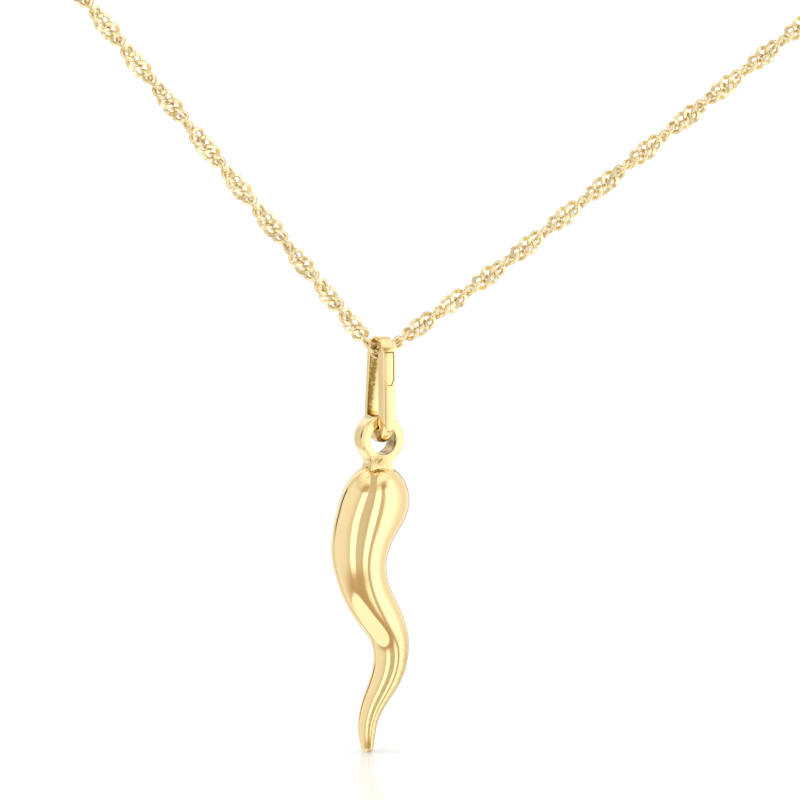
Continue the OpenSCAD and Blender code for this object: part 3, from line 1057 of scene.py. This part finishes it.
# The sides of the wire get painted shade, which draws dark lines between the links.
WIRE_SECTION = [
    # [share of the wire's width, share of its thickness, painted shade] round one wire
    (0.50, 0.0, 0.15), (0.46, 0.30, 0.1), (0.33, 0.50, 0.0), (-0.33, 0.50, 0.0), (-0.46, 0.30, 0.15),
    (-0.50, 0.0, 0.3), (-0.46, -0.30, 0.15), (-0.33, -0.50, 0.0), (0.33, -0.50, 0.0), (0.46, -0.30, 0.1),
]


def link_shape(steps, section, half_wide):
    """One flat link as rings of points [along, across, up], with its middle at the origin."""
    turn = np.linspace(0, 2 * math.pi, steps, endpoint=False)
    along = LINK_HALF_LONG * np.cos(turn)
    across = half_wide * np.sin(turn)
    run_a = np.roll(along, -1) - np.roll(along, 1)
    run_b = np.roll(across, -1) - np.roll(across, 1)
    run = np.hypot(run_a, run_b)
    out = np.array([s[0] for s in section]) * WIRE_WIDE
    up = np.array([s[1] for s in section]) * WIRE_THICK
    return np.stack([
        along[:, None] + (run_b / run)[:, None] * out,
        across[:, None] - (run_a / run)[:, None] * out,
        up[None, :] + LINK_WARP * np.sin(2 * turn)[:, None],
    ], axis=-1)


# %% Link the chain
SHOWN_LEFT = 33.0
SHOWN_RIGHT = 42.0
FINE_STEPS = 48
PLAIN_STEPS = 26
PLAIN_SECTION = [WIRE_SECTION[k] for k in (0, 2, 3, 5, 7, 8)]
TILT = math.radians(0.9)
TWIST_STRAY = math.radians(2.0)
TIGHT_REACH = 2.4
TIGHT_HALF_WIDE = 0.33
LINK_FILM = 0.15
stray = np.random.default_rng(7)


def laid_on_way(shape, middle, twist, tilt):
    """Put a link on the way: turned by its twist and bent only as the way itself bends."""
    along, across, up = shape[..., 0], shape[..., 1], shape[..., 2]
    up = up + along * tilt
    run = middle + along
    c, s = math.cos(twist), math.sin(twist)
    side_part, rise_part = c * across - s * up, s * across + c * up
    place = np.stack([np.interp(run, length_to, way[:, k]) for k in range(3)], axis=-1)
    side = np.stack([np.interp(run, length_to, sides[:, k]) for k in range(3)], axis=-1)
    rise = np.stack([np.interp(run, length_to, risers[:, k]) for k in range(3)], axis=-1)
    return place + side * side_part[..., None] + rise * rise_part[..., None]


def make_links(name, middles, steps, section):
    points, faces, darkening = [], [], []
    for middle in middles:
        # Painted shade on the wire's sides, and a random tone that differs from link to link.
        darkening.append(np.tile([s[2] for s in section], steps) + LINK_FILM * stray.uniform(0, 1) ** 2)
        near = ease(1 - abs(middle - AT_BAIL) / TIGHT_REACH)
        half_wide = LINK_HALF_WIDE + (TIGHT_HALF_WIDE - LINK_HALF_WIDE) * near
        shape = link_shape(steps, section, half_wide)
        twist = np.interp(middle, twist_pairs[:, 0], twist_pairs[:, 1])
        twist += stray.uniform(-TWIST_STRAY, TWIST_STRAY)
        rings = laid_on_way(shape, middle, twist, stray.uniform(-TILT, TILT))
        faces += skin_faces(steps, len(section), first=len(points) * steps * len(section), joined_ends=True)
        points.append(rings.reshape(-1, 3))
    make_piece(name, np.concatenate(points), faces, CHAIN_GOLD, "necklace", ["chain"], crease=35,
               painted_shade_and_tone=np.concatenate(darkening))


fine, plain = (FINE_STEPS, WIRE_SECTION), (PLAIN_STEPS, PLAIN_SECTION)
stretch_from = 0.0
for name, stretch_to, wire_form in (
    ("chain_left_back", AT_BAIL - SHOWN_LEFT, plain),
    ("chain_left_front", AT_BAIL, fine),
    ("chain_right_front", AT_BAIL + SHOWN_RIGHT, fine),
    ("chain_right_back", math.inf, plain),
):
    make_links(name, middles[(middles >= stretch_from) & (middles < stretch_to)], *wire_form)
    stretch_from = stretch_to
print(len(middles), "links")

# %% [markdown]
# ## The clasp
# Behind the neck the chain closes with a sprung ring. A hollow ring has a gap, and a thin
# bolt inside it shows in the gap and is drawn back with a small knob. A fixed eye takes
# the chain's one end by a jump ring. Another jump ring on the chain's other end hangs in
# the closed ring. All of them are wires swept along arcs.

# %% Sweep wires along arcs
def arc_points(centre, radius, start, stop, steps, plane="xz", whole=False):
    angle = np.radians(np.linspace(start, stop, steps, endpoint=not whole))
    first, second = {"xz": ((1, 0, 0), (0, 0, 1)), "xy": ((1, 0, 0), (0, 1, 0))}[plane]
    return np.array(centre) + radius * (
        np.cos(angle)[:, None] * np.array(first) + np.sin(angle)[:, None] * np.array(second)
    )


def wire(name, path, radii, sides_round=20, whole=False):
    """A round wire along a path, closed into a ring or with rounded ends."""
    path = np.asarray(path, float)
    radii = np.broadcast_to(radii, len(path))
    if whole:
        forward = np.roll(path, -1, axis=0) - np.roll(path, 1, axis=0)
    else:
        forward = np.gradient(path, axis=0)
    forward /= np.linalg.norm(forward, axis=1)[:, None]
    level = np.cross(forward[0], forward[len(path) // 3])
    if np.linalg.norm(level) < 1e-6:
        level = np.cross(forward[0], [0.3, 0.9, 0.1])
    level /= np.linalg.norm(level)
    across = np.cross(forward, level)
    turn = np.linspace(0, 2 * math.pi, sides_round, endpoint=False)
    rings = path[:, None] + radii[:, None, None] * (
        level * np.cos(turn)[None, :, None] + across[:, None] * np.sin(turn)[None, :, None]
    )
    faces = skin_faces(len(path), sides_round, joined_ends=whole)
    if not whole:
        faces.append(list(range(sides_round - 1, -1, -1)))
        faces.append([(len(path) - 1) * sides_round + k for k in range(sides_round)])
    make_piece(name, rings.reshape(-1, 3), faces, CLASP_GOLD, "necklace", ["clasp"], crease=40)


def rounded_end(count, radius, edge):
    """Radii that round off both ends of a wire."""
    radii = np.full(count, radius)
    radii[[0, -1]] = radius - edge
    return radii


# %% Make the clasp
CLASP_MIDDLE = (0, CLASP_Y, 0)
CLASP_RING_R = 1.9
TUBE_R, TUBE_EDGE, TUBE_STEPS = 0.6, 0.07, 120
GAP_FROM, GAP_TO = 22, 66
BOLT_R, IN_TUBE = 0.42, 6
COLLAR_AT, COLLAR_HALF, COLLAR_EDGE = 5, 2.2, 0.05
KNOB_AT, KNOB_FROM, KNOB_TO = 96, 0.4, 0.98
KNOB_RADII = [0.14, 0.14, 0.14, 0.15, 0.2, 0.24, 0.26, 0.265, 0.25, 0.21, 0.15, 0.06]
EYE_MIDDLE = (-2.65, CLASP_Y, 0)
EYE_R, EYE_WIRE_R = 0.75, 0.35
JUMP_WIRE_R = 0.14
IN_EYE = -2.88
IN_RING = 1.07
IN_LINK = 0.16

wire("clasp_tube", arc_points(CLASP_MIDDLE, CLASP_RING_R, GAP_TO, 360 + GAP_FROM, TUBE_STEPS),
     rounded_end(TUBE_STEPS, TUBE_R, TUBE_EDGE), 28)
wire("clasp_bolt", arc_points(CLASP_MIDDLE, CLASP_RING_R, GAP_FROM - IN_TUBE, GAP_TO + IN_TUBE, 24), BOLT_R)
for k, a in enumerate((GAP_TO + COLLAR_AT, 360 + GAP_FROM - COLLAR_AT)):
    wire(f"clasp_collar_{k}", arc_points(CLASP_MIDDLE, CLASP_RING_R, a - COLLAR_HALF, a + COLLAR_HALF, 5),
         rounded_end(5, TUBE_R + COLLAR_EDGE, COLLAR_EDGE), 28)
knob_way = np.array([math.cos(math.radians(KNOB_AT)), 0, math.sin(math.radians(KNOB_AT))])
knob_run = np.linspace(CLASP_RING_R + KNOB_FROM, CLASP_RING_R + KNOB_TO, len(KNOB_RADII))
wire("clasp_knob", np.array(CLASP_MIDDLE) + knob_run[:, None] * knob_way, KNOB_RADII, 18)
wire("clasp_eye", arc_points(EYE_MIDDLE, EYE_R, 0, 360, 48, whole=True), EYE_WIRE_R, 18, whole=True)


def jump_ring(name, near, end_link, toward_clasp):
    """A level ring whose wire passes one place of the clasp and one just inside the end link."""
    far = np.interp(end_link, length_to, way[:, 0]) + IN_LINK * toward_clasp
    middle, radius = (near + far) / 2, abs(near - far) / 2
    path = arc_points((middle, CLASP_Y, 0), radius, 0, 360, 48, "xy", whole=True)
    wire(name, path, JUMP_WIRE_R, 14, whole=True)


jump_ring("jump_ring_left", IN_EYE, middles[0], 1)
jump_ring("jump_ring_right", IN_RING, middles[-1], -1)
